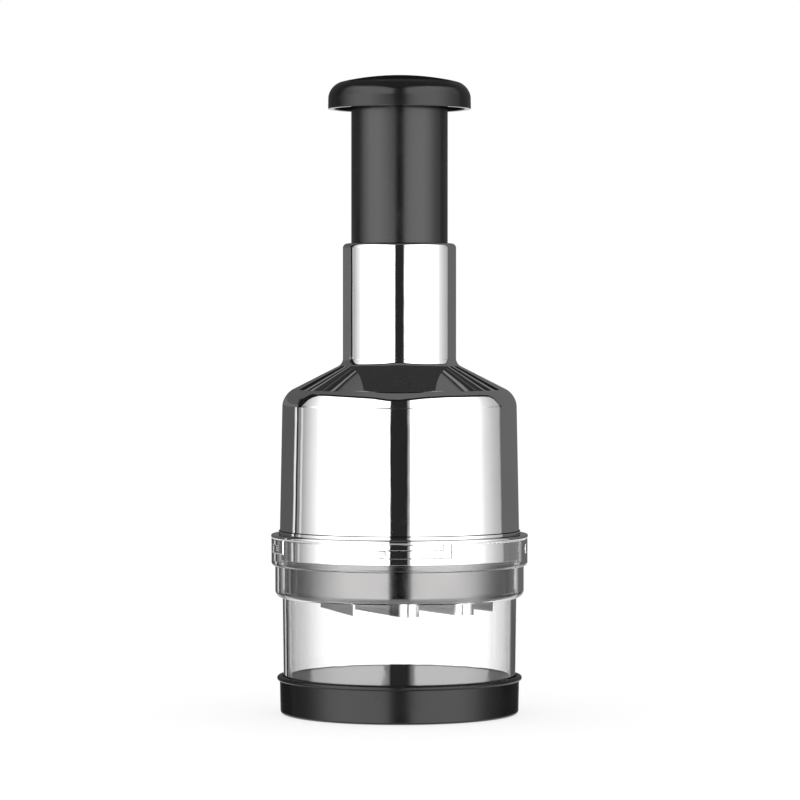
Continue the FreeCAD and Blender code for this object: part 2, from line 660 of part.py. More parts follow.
def ratchet_ring():
    """Toothed ring over the nut; its teeth point down between the nut's."""
    bore = "tower_bore + seat_gap"
    ring = turned("ratchet_ring", [
        (bore, "ratchet_foot"),
        ("nut_radius", "ratchet_foot"),
        ("nut_radius", "cap_spigot_foot"),
        (bore, "cap_spigot_foot"),
    ])
    tooth = bar(ring, "ratchet_tooth", TOOTH_SPAN, "tooth_width",
                ("ratchet_foot - tooth_height", "ratchet_foot + tooth_height"))
    repeat(ring, [tooth], "tooth_count")
    ring.Placement = FreeCAD.Placement(FreeCAD.Vector(), FreeCAD.Rotation(FreeCAD.Vector(0, 0, 1), 1))
    ring.setExpression("Placement.Rotation.Angle", formula("180 / tooth_count"))
    return ring


def tower_cap():
    """Cap pressed in the pocket, which holds ratchet and nut down."""
    return turned("tower_cap", [
        ("tower_bore + seat_gap", "cap_spigot_foot"),
        ("nut_radius", "cap_spigot_foot"),
        ("nut_radius", "tower_top"),
        ("tower_top_radius", "tower_top"),
        ("tower_top_radius", "tower_top + cap_height"),
        ("tower_bore + seat_gap", "tower_top + cap_height"),
    ])


def ring_washer(label, bore, radius, foot, height):
    return turned(label, [
        (bore, foot),
        (radius, foot),
        (radius, f"{foot} + {height}"),
        (bore, f"{foot} + {height}"),
    ])


# ---- plunger ----


def stem():
    """Hollow tube with a notched stop flange below and a wall across near its top."""
    tube = turned("stem_turned", [
        ("stem_bore", "stem_foot"),
        ("stem_flange_radius", "stem_foot"),
        ("stem_flange_radius", "stem_flange_top"),
        ("stem_radius", "stem_flange_top"),
        ("stem_radius", "stem_top"),
        ("stem_bore", "stem_top"),
        ("stem_bore", "end_wall_top"),
        ("neck_pin_radius", "end_wall_top"),
        ("neck_pin_radius", "end_wall_foot"),
        ("stem_bore", "end_wall_foot"),
    ])
    screw_hole = drum(tube, "stem_screw_hole", "Subtractive", "knob_screw_radius + run_gap",
                      "2 * end_wall", "end_wall_foot - end_wall / 2", middle="knob_screw_circle")
    screw_seat = drum(tube, "stem_screw_seat", "Subtractive", "knob_screw_head + run_gap",
                      "knob_screw_sink + end_wall / 2", "end_wall_foot - end_wall / 2",
                      middle="knob_screw_circle")
    repeat(tube, [screw_hole, screw_seat], "3")
    notches = []
    for side in (1, -1):
        notch = doc.addObject("Part::Box", f"stem_notch_{side + 1}")
        notch.setExpression("Length", formula("stem_flange + run_gap"))
        notch.setExpression("Width", formula("key_width + 2 * fit_gap"))
        notch.setExpression("Height", formula("stem_flange_height + 2 * fit_gap"))
        inner = "barrel_bore - key_height - fit_gap"
        reach = inner if side > 0 else f"0 - ({inner}) - stem_flange - run_gap"
        notch.setExpression("Placement.Base.x", formula(reach))
        notch.setExpression("Placement.Base.y", formula("0 - key_width / 2 - fit_gap"))
        notch.setExpression("Placement.Base.z", formula("stem_foot - fit_gap"))
        notches.append(notch)
    return cut("stem", tube, group("stem_notches", notches))


def knob():
    """Domed cap with a hollow underside, a socket for the stem and three screw bosses."""
    body = doc.addObject("PartDesign::Body", "knob")
    sketch = body.newObject("Sketcher::SketchObject", "knob_outline")
    lay_on(body, sketch, "XZ_Plane")
    corners = [
        ("0", "knob_top"),
        ("0", "stem_top"),
        ("socket_bore", "stem_top"),
        ("socket_bore", "knob_rim + socket_recess"),
        ("socket_radius", "knob_rim + socket_recess"),
        ("socket_radius", "socket_ceiling"),
        ("knob_inside", "knob_ceiling"),
        ("knob_inside", "knob_rim"),
        ("knob_radius", "knob_rim"),
        ("knob_side", "crown_edge"),
    ]
    draw(sketch, corners)
    closing = len(corners) - 1
    sketch.toggleConstruction(closing)
    centre = FreeCAD.Vector(0, number("crown_centre"), 0)
    crown = Part.Circle(centre, FreeCAD.Vector(0, 0, 1), number("crown_radius"))
    edge_angle = crown.parameter(FreeCAD.Vector(number("knob_side"), number("crown_edge"), 0))
    top_angle = crown.parameter(FreeCAD.Vector(0, number("knob_top"), 0))
    arc = sketch.addGeometry(Part.ArcOfCircle(crown, edge_angle, top_angle), False)
    sketch.addConstraint(Sketcher.Constraint("Coincident", arc, 1, closing, 1))
    sketch.addConstraint(Sketcher.Constraint("Coincident", arc, 2, closing, 2))
    hold(sketch, "Radius", arc, "crown_radius")
    revolution = body.newObject("PartDesign::Revolution", "knob_turned")
    revolution.Profile = sketch
    revolution.ReferenceAxis = (sketch, ["V_Axis"])
    revolution.Angle = 360
    doc.recompute()
    soften(body, "knob_round", ("knob_side", "crown_edge"))
    soften(body, "knob_wall * 0.2", ("knob_inside", "knob_rim"), ("knob_radius", "knob_rim"))
    boss_foot = "end_wall_top + seat_gap"
    boss = drum(body, "knob_boss_one", "Additive", "knob_boss", f"stem_top + set_gap - ({boss_foot})",
                boss_foot, middle="knob_screw_circle")
    hole = drum(body, "knob_boss_hole", "Subtractive", "knob_screw_radius + set_gap", "knob_screw_length",
                "end_wall_foot + knob_screw_sink", middle="knob_screw_circle")
    repeat(body, [boss, hole], "3")
    return body


def knob_screws():
    """Three screws, heads sunk in the stem's end wall."""
    screws = []
    for index in range(3):
        shank = rod(f"knob_screw_shank_{index}", "knob_screw_radius",
                    "knob_screw_length + knob_screw_sink / 2 - seat_gap",
                    "end_wall_foot + knob_screw_sink / 2")
        head = rod(f"knob_screw_head_{index}", "knob_screw_head", "knob_screw_sink - seat_gap",
                   "end_wall_foot + seat_gap")
        for piece in (shank, head):
            piece.setExpression("Placement.Base.x", formula(f"knob_screw_circle * cos({index} * 120deg)"))
            piece.setExpression("Placement.Base.y", formula(f"knob_screw_circle * sin({index} * 120deg)"))
        screw = doc.addObject("Part::MultiFuse", f"knob_screw_{index}")
        screw.Shapes = [head, shank]
        screws.append(screw)
    return group("knob_screws", screws)


def return_spring():
    """Coil spring between the tower's step and the stem's end wall."""
    path = doc.addObject("Part::Helix", "spring_path")
    path.setExpression("Radius", formula("spring_radius"))
    path.setExpression("Height", formula("spring_length - 2 * spring_bar"))
    path.setExpression("Pitch", formula("(spring_length - 2 * spring_bar) / spring_turns"))
    path.setExpression("Placement.Base.z", formula("lower_washer_top + spring_bar"))
    section = doc.addObject("Part::Circle", "spring_section")
    section.setExpression("Radius", formula("spring_bar"))
    section.Placement = FreeCAD.Placement(FreeCAD.Vector(), FreeCAD.Rotation(FreeCAD.Vector(1, 0, 0), 90))
    section.setExpression("Placement.Base.x", formula("spring_radius"))
    section.setExpression("Placement.Base.z", formula("lower_washer_top + spring_bar"))
    coil = doc.addObject("Part::Sweep", "return_spring")
    coil.Sections = [section]
    coil.Spine = (path, ["Edge1"])
    coil.Solid = True
    coil.Frenet = True
    return coil


# ---- blade ----


def groove_cutter(side):
    """Follows one left-hand groove, which stands at the nut's pin when the knob is up."""
    start = f"{side} + ratio * groove_spare"
    path = doc.addObject("Part::Helix", f"groove_path_{side}")
    path.LocalCoord = "Left-handed"
    path.setExpression("Radius", formula("spindle_radius"))
    path.setExpression("Height", formula("groove_length"))
    path.setExpression("Pitch", formula("360 / ratio"))
    section = doc.addObject("Sketcher::SketchObject", f"groove_section_{side}")
    inner = "spindle_radius - groove_cut"
    outer = "spindle_radius + groove_cut"
    half = "groove_width / 2"
    draw(section, [(inner, f"0 - {half}"), (outer, f"0 - {half}"), (outer, half), (inner, half)])
    for piece in (path, section):
        piece.Placement = FreeCAD.Placement(FreeCAD.Vector(), FreeCAD.Rotation(FreeCAD.Vector(0, 0, 1), 1))
        piece.setExpression("Placement.Rotation.Angle", formula(start))
        piece.setExpression("Placement.Base.z", formula("groove_foot"))
    cutter = doc.addObject("Part::Sweep", f"groove_{side}")
    cutter.Sections = [section]
    cutter.Spine = (path, ["Edge1"])
    cutter.Solid = True
    cutter.Frenet = True
    return cutter


def spindle():
    """Grooved rod from the stem's end wall down to the blade holder, pinned there."""
    shaft = turned("spindle_turned", [
        ("0", "holder_top"),
        ("spindle_radius", "holder_top"),
        ("spindle_radius", "end_wall_foot - pin_gap"),
        ("spindle_neck", "end_wall_foot - pin_gap"),
        ("spindle_neck", "spindle_top"),
        ("screw_radius", "spindle_top"),
        ("screw_radius", "spindle_top - screw_length"),
        ("0", "spindle_top - screw_length"),
    ])
    cross_hole = rod("spindle_cross_hole", "hub_pin_radius", "4 * spindle_radius",
                     ("0 - 2 * spindle_radius", "hub_pin_height"), "0")
    grooves = [groove_cutter(angle) for angle in GROOVE_ANGLES]
    return cut("spindle", shaft, group("spindle_cuts", grooves + [cross_hole]))


def spindle_screw():
    """Screw and head on top of the spindle's washer."""
    seat = "spindle_top + washer"
    return turned("spindle_screw", [
        ("0", "spindle_top - screw_length"),
        ("screw_radius", "spindle_top - screw_length"),
        ("screw_radius", seat),
        ("screw_head", seat),
        ("screw_head", f"{seat} + screw_head_height"),
        ("0", f"{seat} + screw_head_height"),
    ])


def blade_path():
    """Middle line of the strip: legs that run tangent into five bends, turned to the rest angle."""
    bends = [
        ("0 - end_bend_side", "end_bend_depth"),
        ("0 - front_bend_side", "0 - front_bend_depth"),
        ("0", "middle_bend_depth"),
        ("front_bend_side", "0 - front_bend_depth"),
        ("end_bend_side", "end_bend_depth"),
    ]
    ends = [("0 - blade_end_side", "0 - blade_end_depth"), ("blade_end_side", "0 - blade_end_depth")]
    radius = number("blade_bend")
    centres = [FreeCAD.Vector(number(x), number(y), 0) for x, y in bends]
    starts = [FreeCAD.Vector(number(x), number(y), 0) for x, y in ends]
    path = doc.addObject("Sketcher::SketchObject", "blade_path")
    up = FreeCAD.Vector(0, 0, 1)

    def touch(point, centre, side):
        """Where the line from a point touches the bend, on the given side."""
        reach = centre.sub(point)
        lean = Part.Line(point, centre)
        away = up.cross(lean.Direction)
        share = radius / reach.Length
        along = (1 - share ** 2) ** 0.5
        return centre - lean.Direction * (radius * share) + away * (side * radius * along)

    legs = []
    for index in range(len(centres) + 1):
        side = 1 if index % 2 == 0 else -1
        if index == 0:
            legs.append((starts[0], touch(starts[0], centres[0], side)))
        elif index == len(centres):
            legs.append((touch(starts[1], centres[-1], side), starts[1]))
        else:
            middle = (centres[index - 1] + centres[index]) * 0.5
            legs.append((touch(middle, centres[index - 1], side), touch(middle, centres[index], side)))
    lines = [path.addGeometry(Part.LineSegment(*leg), False) for leg in legs]
    arcs = []
    for index, centre in enumerate(centres):
        far = centre + FreeCAD.Vector(0, radius if index % 2 == 0 else -radius, 0)
        arc = Part.Arc(legs[index][1], far, legs[index + 1][0])
        arcs.append(path.addGeometry(arc, False))
    for index, arc in enumerate(arcs):
        first, last = (2, 1) if index % 2 == 0 else (1, 2)
        path.addConstraint(Sketcher.Constraint("Tangent", lines[index], 2, arc, first))
        path.addConstraint(Sketcher.Constraint("Tangent", arc, last, lines[index + 1], 1))
        hold(path, "Radius", arc, "blade_bend")
        hold(path, "DistanceX", arc, 3, bends[index][0])
        hold(path, "DistanceY", arc, 3, bends[index][1])
    for line, spot, (x, y) in ((lines[0], 1, ends[0]), (lines[-1], 2, ends[1])):
        hold(path, "DistanceX", line, spot, x)
        hold(path, "DistanceY", line, spot, y)
    path.Placement = FreeCAD.Placement(FreeCAD.Vector(), FreeCAD.Rotation(up, 1))
    path.setExpression("Placement.Rotation.Angle", formula("blade_angle"))
    doc.recompute()
    return path


def strip(label, path, half_width, foot, height):
    """An upright band along the blade's path."""
    face = doc.addObject("Part::Offset2D", f"{label}_face")
    face.Source = path
    face.Mode = "Pipe"
    face.Fill = True
    face.setExpression("Value", formula(half_width))
    band = doc.addObject("Part::Extrusion", label)
    band.Base = face
    band.DirMode = "Custom"
    band.Dir = FreeCAD.Vector(0, 0, 1)
    band.Solid = True
    band.setExpression("LengthFwd", formula(height))
    band.setExpression("Placement.Base.z", formula(foot))
    return band


def blade_holder(path):
    """Ribbed disc with a boss for the spindle and a zigzag slot that holds the strip's upper edge."""
    holder = turned("blade_holder_moulded", [
        ("0", "holder_foot"),
        ("holder_radius", "holder_foot"),
        ("holder_radius", "holder_top"),
        ("boss_radius", "holder_top"),
        ("boss_radius", "boss_top"),
        ("spindle_radius + set_gap", "boss_top"),
        ("spindle_radius + set_gap", "holder_top"),
        ("0", "holder_top"),
    ])
    rib = bar(holder, "holder_rib_one", ("boss_radius - holder_rib / 2", "holder_radius - holder_rib"),
              "holder_rib", ("holder_top - holder_plate / 2", "holder_top + holder_rib_height"))
    repeat(holder, [rib], "holder_rib_count")
    slot = strip("holder_slot", path, "blade_thickness / 2 + set_gap", "holder_foot - seat_gap",
                 "slot_depth + 2 * seat_gap")
    cross_hole = rod("boss_cross_hole", "hub_pin_radius", "3 * boss_radius",
                     ("0 - 1.5 * boss_radius", "hub_pin_height"), "0")
    return cut("blade_holder", holder, group("holder_cuts", [slot, cross_hole]))


def hub_pin():
    """Cross pin through boss and spindle."""
    return rod("hub_pin", "hub_pin_radius - set_gap", "2 * boss_radius - 2 * set_gap",
               ("set_gap - boss_radius", "hub_pin_height"), "0")


def guard_cup(path):
    """Black cup with the blade's slot in its floor and a spigot that snaps in the frame."""
    root = "guard_top - spigot_root"
    bead = "guard_bore + snap_reach"
    cup = turned("guard_cup_moulded", [
        ("0", "guard_foot"),
        ("guard_radius", "guard_foot"),
        ("guard_radius", "guard_top"),
        ("guard_bore", "guard_top"),
        ("guard_bore", "snap_foot"),
        (bead, "snap_foot + snap_height / 3"),
        (bead, "snap_foot + snap_height * 2 / 3"),
        ("guard_bore", "snap_foot + snap_height"),
        ("guard_bore", "spigot_top"),
        ("spigot_bore", "spigot_top"),
        ("spigot_bore", root),
        ("guard_bore", root),
        ("guard_bore", "guard_floor_top"),
        ("0", "guard_floor_top"),
    ])
    soften(cup, "guard_corner", ("guard_radius", "guard_foot"))
    slot = strip("guard_slot", path, "blade_thickness / 2 + slot_gap", "guard_foot - guard_floor",
                 "3 * guard_floor")
    return cut("guard_cup", cup, slot)


# ---- assembly ----


def make_all():
    holes = lug_rods("lug_holes", "frame_radius - 2 * seat_gap",
                     "lug_reach + skirt_radius - frame_radius", "set_gap")
    path = blade_path()
    blade = strip("zigzag_blade", path, "blade_thickness / 2", "blade_foot", "blade_top - blade_foot")
    spring_bore = "tower_top_radius + run_gap"
    return {
        "base_tray": base_tray(),
        "clear_cup": clear_cup(),
        "steel_shell": steel_shell(holes),
        "trim_ring": trim_ring(),
        "bayonet_lugs": bayonet_lugs(),
        "inner_frame": inner_frame(holes),
        "guide_sleeve": guide_sleeve(),
        "index_nut": index_nut(),
        "ratchet_ring": ratchet_ring(),
        "tower_cap": tower_cap(),
        "spring_seat": ring_washer("spring_seat", spring_bore, "tower_radius", "spring_seat_height",
                                   "washer"),
        "stem": stem(),
        "knob": knob(),
        "knob_screws": knob_screws(),
        "return_spring": return_spring(),
        "spring_washer": ring_washer("spring_washer", spring_bore, "stem_bore - fit_gap",
                                     "upper_washer_foot", "washer"),
        "spindle": spindle(),
        "spindle_washer": ring_washer("spindle_washer", "screw_radius", "spindle_washer_radius",
                                      "spindle_top", "washer"),
        "spindle_screw": spindle_screw(),
        "blade_holder": blade_holder(path),
        "hub_pin": hub_pin(),
        "zigzag_blade": blade,
        "guard_cup": guard_cup(path),
    }


def check(parts):
    """Stops on a failed feature or an empty or invalid piece."""
    failed = [thing.Name for thing in doc.Objects if set(thing.State) & {"Invalid", "Error"}]
    if failed:
        raise RuntimeError(f"failed features: {failed}")
    for name, part in parts.items():
        if part.Shape.isNull() or not part.Shape.isValid() or not part.Shape.Solids:
            raise RuntimeError(f"{name} has no valid solid")


def write(parts):
    os.makedirs("parts", exist_ok=True)
    for name, part in parts.items():
        part.Label = name
        part.Shape.exportStep(f"parts/{name}.step")
        print(f"{name}: {len(part.Shape.Solids)} solid, {part.Shape.Volume:.1f} mm3")


pieces = make_all()
doc.recompute()
check(pieces)
write(pieces)
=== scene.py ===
import math

import bmesh
import bpy
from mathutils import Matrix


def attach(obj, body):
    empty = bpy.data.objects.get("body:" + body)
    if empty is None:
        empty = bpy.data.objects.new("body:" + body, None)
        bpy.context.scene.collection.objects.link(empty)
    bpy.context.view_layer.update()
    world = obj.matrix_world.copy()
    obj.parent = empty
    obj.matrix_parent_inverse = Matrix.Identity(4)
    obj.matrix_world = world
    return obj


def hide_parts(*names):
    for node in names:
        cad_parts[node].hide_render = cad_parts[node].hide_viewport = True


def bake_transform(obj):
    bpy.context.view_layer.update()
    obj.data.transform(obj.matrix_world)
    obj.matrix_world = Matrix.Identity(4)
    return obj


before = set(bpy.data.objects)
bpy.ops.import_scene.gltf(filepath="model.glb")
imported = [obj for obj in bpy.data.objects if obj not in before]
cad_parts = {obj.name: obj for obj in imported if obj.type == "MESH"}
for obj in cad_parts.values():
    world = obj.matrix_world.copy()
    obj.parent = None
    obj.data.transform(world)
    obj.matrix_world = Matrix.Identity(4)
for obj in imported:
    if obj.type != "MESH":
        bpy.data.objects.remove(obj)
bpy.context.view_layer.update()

# ---- camera ----
# A long lens at the height of the housing's neck, tipped a little down so that the whole chopper,
# 230 mm tall, stands in the middle of a square view.

FOCAL_LENGTH = 169.1
SENSOR_WIDTH = 36
CAMERA_PLACE = (0.00018, -1.356, 0.1412)
CAMERA_DIP = 1.189

camera_data = bpy.data.cameras.new("camera")
camera_data.sensor_width = SENSOR_WIDTH
camera_data.lens = FOCAL_LENGTH
camera = bpy.data.objects.new("camera", camera_data)
camera.location = CAMERA_PLACE
camera.rotation_euler = (math.radians(90 - CAMERA_DIP), 0, 0)
bpy.context.scene.collection.objects.link(camera)
bpy.context.scene.camera = camera
bpy.context.scene.view_settings.view_transform = "Standard"

# ---- studio ----
# Two tall soft panels stand left and right of the camera with a dark gap between them, the room
# behind the chopper is grey and its ceiling dark. The floor is pale and plain.


def add(tree, kind, values=None, **settings):
    """Adds a node. A value that is a socket is linked to its input, any other is set on it."""
    node = tree.nodes.new("ShaderNode" + kind)
    for name, value in settings.items():
        setattr(node, name, value)
    for key, value in (values or {}).items():
        if isinstance(value, bpy.types.NodeSocket):
            tree.links.new(value, node.inputs[key])
        else:
            node.inputs[key].default_value = value
    return node


def maths(tree, operation, *values):
    return add(tree, "Math", dict(enumerate(values)), operation=operation).outputs[0]


def times(tree, first, second):
    return maths(tree, "MULTIPLY", first, second)


def parts(tree, vector):
    """A vector's X, Y and Z."""
    return add(tree, "SeparateXYZ", {0: vector}).outputs


def smooth_step(tree, value, low, high):
    """0 at low, 1 at high and an even curve between them. Low may be the larger one."""
    values = {"Value": value, "From Min": low, "From Max": high}
    return add(tree, "MapRange", values, interpolation_type="SMOOTHSTEP").outputs[0]


def graph(tree, value, low, high, points):
    """A curve of (place, level) points over the range from low to high."""
    share = maths(tree, "DIVIDE", maths(tree, "SUBTRACT", value, low), high - low)
    ramp = add(tree, "ValToRGB", {"Fac": share})
    steps = ramp.color_ramp.elements
    while len(steps) < len(points):
        steps.new(0.5)
    for step, (place, level) in zip(steps, points):
        step.position = (place - low) / (high - low)
    for step, (place, level) in zip(steps, points):
        step.color = (level, level, level, 1)
    return ramp.outputs[0]


def blend(tree, share, first, second):
    """The first value where the share is 0, the second where it is 1."""
    return maths(tree, "ADD", times(tree, first, maths(tree, "SUBTRACT", 1, share)),
                 times(tree, second, share))


# The room is laid out by the way a mirror faces when it shows the camera a spot of it: turn is how
# far to the right, tilt how far up, both in degrees. Tones are shares of the panels' brightness.
PANEL_LIGHT = 2.2
ROOM_LIGHT = 0.95
BACKGROUND = 1.0
BACKGROUND_IN_CLEAR = 1.15
SIDE = 90

# (turn, tone) at eye level: the panels from 5 to 28 degrees either side, fading outwards to the
# room, with a dark stand and a strip of light at the left panel's far edge.
WALL_TONES = [
    (-90, 0.0445), (-62.6, 0.0445), (-62.2, 0.025), (-61.7, 0.42), (-60.4, 0.42), (-60.0, 0.004),
    (-59.0, 0.004), (-58.4, 0.07), (-57.4, 0.17), (-56.8, 0.05), (-56.2, 0.20), (-55.2, 0.42),
    (-54.2, 0.18), (-50, 0.29), (-44, 0.46), (-36, 0.85), (-28, 1.0), (-4.9, 1.0),
    (-4.4, 0.002), (-3.6, 0.010), (3.4, 0.009), (4.1, 0.002), (4.45, 0.45), (4.9, 0.22),
    (5.3, 1.0), (28, 1.0), (38, 0.72), (45.6, 0.38), (52, 0.26), (57.4, 0.20), (58.2, 0.062),
    (90, 0.062),
]
# (turn, tone) a little above eye level, where the panels fade inwards too.
UPPER_TONES = [
    (-90, 0.05), (-60, 0.05), (-54, 0.09), (-49, 0.36), (-43, 0.78), (-37, 1.0), (-24, 1.0), (-16, 0.60),
    (-10, 0.24), (-5, 0.03), (-1, 0.01), (4, 0.02), (6, 0.30), (10, 0.68), (15, 0.96), (20, 1.0),
    (30, 1.0), (36, 0.82), (43, 0.50), (50, 0.25), (58, 0.14), (66, 0.10), (90, 0.06),
]
# (turn, height) of the panels' upper edge, as a share of the way from eye level to overhead.
PANEL_TOPS = [
    (-90, 0.02), (-60, 0.02), (-56.5, 0.03), (-54.5, 0.116), (-51.9, 0.268), (-49.5, 0.345),
    (-45.7, 0.408), (-42.9, 0.41), (-38.6, 0.403), (-30, 0.382), (-24, 0.369), (-13, 0.334), (-6, 0.27),
    (0, 0.26), (6, 0.30), (13, 0.342), (24, 0.375), (39, 0.380), (47.3, 0.382), (51.8, 0.363),
    (54.7, 0.279), (56.9, 0.138), (58.2, 0.02), (90, 0.02),
]
OVERHEAD = 90
CEILING_TONES = [(-90, 0.0445), (-35, 0.046), (-15, 0.060), (90, 0.062)]
CEILING_AGAIN = 0.016
CEILING_BLACK = 0.0015
LAMP_TILT = 59.6
LAMP_TONE = 0.30
# (degrees to either side, tone) of the ceiling's light and dark slats.
SLATS_START = 30
SLAT_TONES = [
    (30, 0.042), (36, 0.042), (37, 0.010), (38.6, 0.012), (39.6, 0.11), (40.6, 0.11), (41.4, 0.008),
    (46, 0.014), (47.5, 0.04), (49, 0.012), (53, 0.018), (54.5, 0.008), (55.3, 0.13), (56.5, 0.13),
    (57.2, 0.008), (60.5, 0.012), (61.2, 0.09), (63.5, 0.11), (64.5, 0.03), (66, 0.004), (71.5, 0.004),
    (72.5, 0.06), (90, 0.07),
]
SLAT_WAVER = 9
EDGING_TONE = 0.005
EDGING_WIDTH = 5.0
LEFT_EDGING_WIDTH = 24
TOP_DROP_AGAIN = 16
LOW_WALL_TONE = 0.22
GROUND_TONE = 0.36
BACK_TONE = 0.277
BACK_SEAM_TONE = 0.014

world = bpy.data.worlds.new("studio")
bpy.context.scene.world = world
world.use_nodes = True
room = world.node_tree
room.nodes.clear()
heading = add(room, "TexCoord").outputs["Generated"]
to_mirror = add(room, "VectorMath", {0: heading, 1: (0, 1, 0)}, operation="SUBTRACT").outputs[0]
facing = add(room, "VectorMath", {0: to_mirror}, operation="NORMALIZE").outputs[0]
facing_right, facing_back, facing_up = parts(room, facing)
turn = maths(room, "DEGREES", maths(room, "ARCTAN2", facing_right, times(room, facing_back, -1)))
tilt = maths(room, "DEGREES", maths(room, "ARCSINE", facing_up))
side = maths(room, "ABSOLUTE", turn)
right, away, rise = parts(room, heading)
ray = add(room, "LightPath").outputs
again = maths(room, "GREATER_THAN", ray["Glossy Depth"], 1.5)

# The walls: the tones at eye level and above it, with darker lower corners.
upper = times(room, smooth_step(room, rise, 0.022, 0.034), smooth_step(room, rise, 0.17, 0.14))
walls = blend(room, upper, graph(room, turn, -SIDE, SIDE, WALL_TONES),
              graph(room, turn, -SIDE, SIDE, UPPER_TONES))
low_corners = times(room, smooth_step(room, rise, -0.074, -0.088), smooth_step(room, side, 32, 54))
walls = times(room, walls, blend(room, low_corners, 1, LOW_WALL_TONE))

# The ceiling: a narrow lamp in the middle, wavering slats at the sides, and black overhead.
off_lamp = maths(room, "ABSOLUTE", maths(room, "SUBTRACT", tilt, LAMP_TILT))
lamp = times(room, smooth_step(room, off_lamp, 0.9, 0.5), smooth_step(room, side, 27, 20))
ceiling = blend(room, again, graph(room, turn, -SIDE, SIDE, CEILING_TONES), CEILING_AGAIN)
ceiling = blend(room, lamp, ceiling, LAMP_TONE)
warp = add(room, "TexNoise", {"Vector": heading, "Scale": 9.0, "Detail": 2.0}).outputs[0]
wavering = maths(room, "ADD", side, times(room, maths(room, "SUBTRACT", warp, 0.5), SLAT_WAVER))
slats = graph(room, wavering, SLATS_START, SIDE, SLAT_TONES)
slatted = times(room, smooth_step(room, tilt, 55.5, 58), smooth_step(room, side, 34, 36))
ceiling = blend(room, slatted, ceiling, slats)
ceiling = blend(room, smooth_step(room, tilt, 67, 72), ceiling, CEILING_BLACK)

# The panels end at their tops, lower in a second reflection, under a dark edging that is wider on
# the left. Below the panels is the grey ground.
top = maths(room, "SUBTRACT", times(room, graph(room, turn, -SIDE, SIDE, PANEL_TOPS), OVERHEAD),
            times(room, again, TOP_DROP_AGAIN))
over_top = maths(room, "SUBTRACT", tilt, top)
edging_width = blend(room, smooth_step(room, turn, -46, -56), EDGING_WIDTH, LEFT_EDGING_WIDTH)
edging = times(room, smooth_step(room, maths(room, "DIVIDE", over_top, edging_width), 1.2, 0.9),
               smooth_step(room, side, 61, 58))
ceiling = blend(room, edging, ceiling, EDGING_TONE)
tone = blend(room, smooth_step(room, over_top, -0.7, 0.7), walls, ceiling)
tone = blend(room, smooth_step(room, tilt, -20, -30), tone, GROUND_TONE)

# A grey backdrop with a dark seam in its middle stands behind, where the upper collar mirrors it.
off_middle = maths(room, "ABSOLUTE", right)
backdrop = times(room, maths(room, "GREATER_THAN", away, 0),
                 times(room, smooth_step(room, rise, 0.074, 0.080), smooth_step(room, rise, 0.110, 0.104)))
backdrop = times(room, backdrop, smooth_step(room, off_middle, 0.062, 0.052))
clear_of_seam = smooth_step(room, off_middle, 0.0064, 0.0070)
tone = blend(room, backdrop, tone, blend(room, clear_of_seam, BACK_SEAM_TONE, BACK_TONE))

# Mirrors show the room, matt surfaces get an even light, and the background is plain white.
glossy = maths(room, "MAXIMUM", ray["Is Glossy Ray"], maths(room, "GREATER_THAN", ray["Glossy Depth"], 0.5))
straight = maths(room, "MAXIMUM", ray["Is Camera Ray"], ray["Is Transmission Ray"])
seen = times(room, straight, maths(room, "SUBTRACT", 1, glossy))
level = blend(room, glossy, ROOM_LIGHT, times(room, tone, PANEL_LIGHT))
level = blend(room, seen, level, blend(room, ray["Is Transmission Ray"], BACKGROUND, BACKGROUND_IN_CLEAR))
light = add(room, "Background", {"Color": (1, 1, 1, 1), "Strength": level})
add(room, "OutputWorld", {"Surface": light.outputs[0]})

# A curved grey card, half a metre behind and to the left, greys the neck's left side. Its near end
# is black. Both ends are given in degrees from the front, going left.
CARD_DISTANCE = 0.5
CARD_HEIGHTS = (0.123, 0.19)
CARD_FAR_END = 160
CARD_NEAR_END = 109.2
CARD_GREY_FROM, CARD_BLACK_FROM = 115.0, 114.4
CARD_STEPS = 48
CARD_TONE = 0.145
CARD_END_TONE = 0.004

card_mesh = bmesh.new()
far_end = math.radians(CARD_FAR_END)
ends = [card_mesh.verts.new((-CARD_DISTANCE * math.sin(far_end), -CARD_DISTANCE * math.cos(far_end), height))
        for height in CARD_HEIGHTS]
card_mesh.edges.new(ends)
bmesh.ops.spin(card_mesh, geom=card_mesh.verts[:] + card_mesh.edges[:], cent=(0, 0, 0), axis=(0, 0, 1),
               angle=math.radians(CARD_FAR_END - CARD_NEAR_END), steps=CARD_STEPS)
card_data = bpy.data.meshes.new("neck_card")
card_mesh.to_mesh(card_data)
card_mesh.free()
card = bpy.data.objects.new("neck_card", card_data)
bpy.context.scene.collection.objects.link(card)
card.visible_camera = card.visible_diffuse = card.visible_transmission = card.visible_shadow = False
card_paint = bpy.data.materials.new("grey_card")
card_paint.use_nodes = True
tree = card_paint.node_tree
tree.nodes.clear()
east, north, _ = parts(tree, add(tree, "TexCoord").outputs["Object"])
going_left = maths(tree, "DEGREES", maths(tree, "ARCTAN2", times(tree, east, -1), times(tree, north, -1)))
grey = blend(tree, smooth_step(tree, going_left, CARD_GREY_FROM, CARD_BLACK_FROM), CARD_TONE, CARD_END_TONE)
add(tree, "OutputMaterial", {"Surface": add(tree, "Emission", {"Strength": grey}).outputs[0]})
card_data.materials.append(card_paint)

# The floor is white to the camera and a plain pale grey to all other light.
FLOOR_RADIUS = 4
FLOOR_DROP = 0.0002
FLOOR_GREY = (0.8, 0.8, 0.8, 1)
SHADOW_GREY = (0.30, 0.30, 0.30, 1)
FLOOR_GLOW = 0.735
FLOOR_GLOW_IN_CLEAR = 0.90

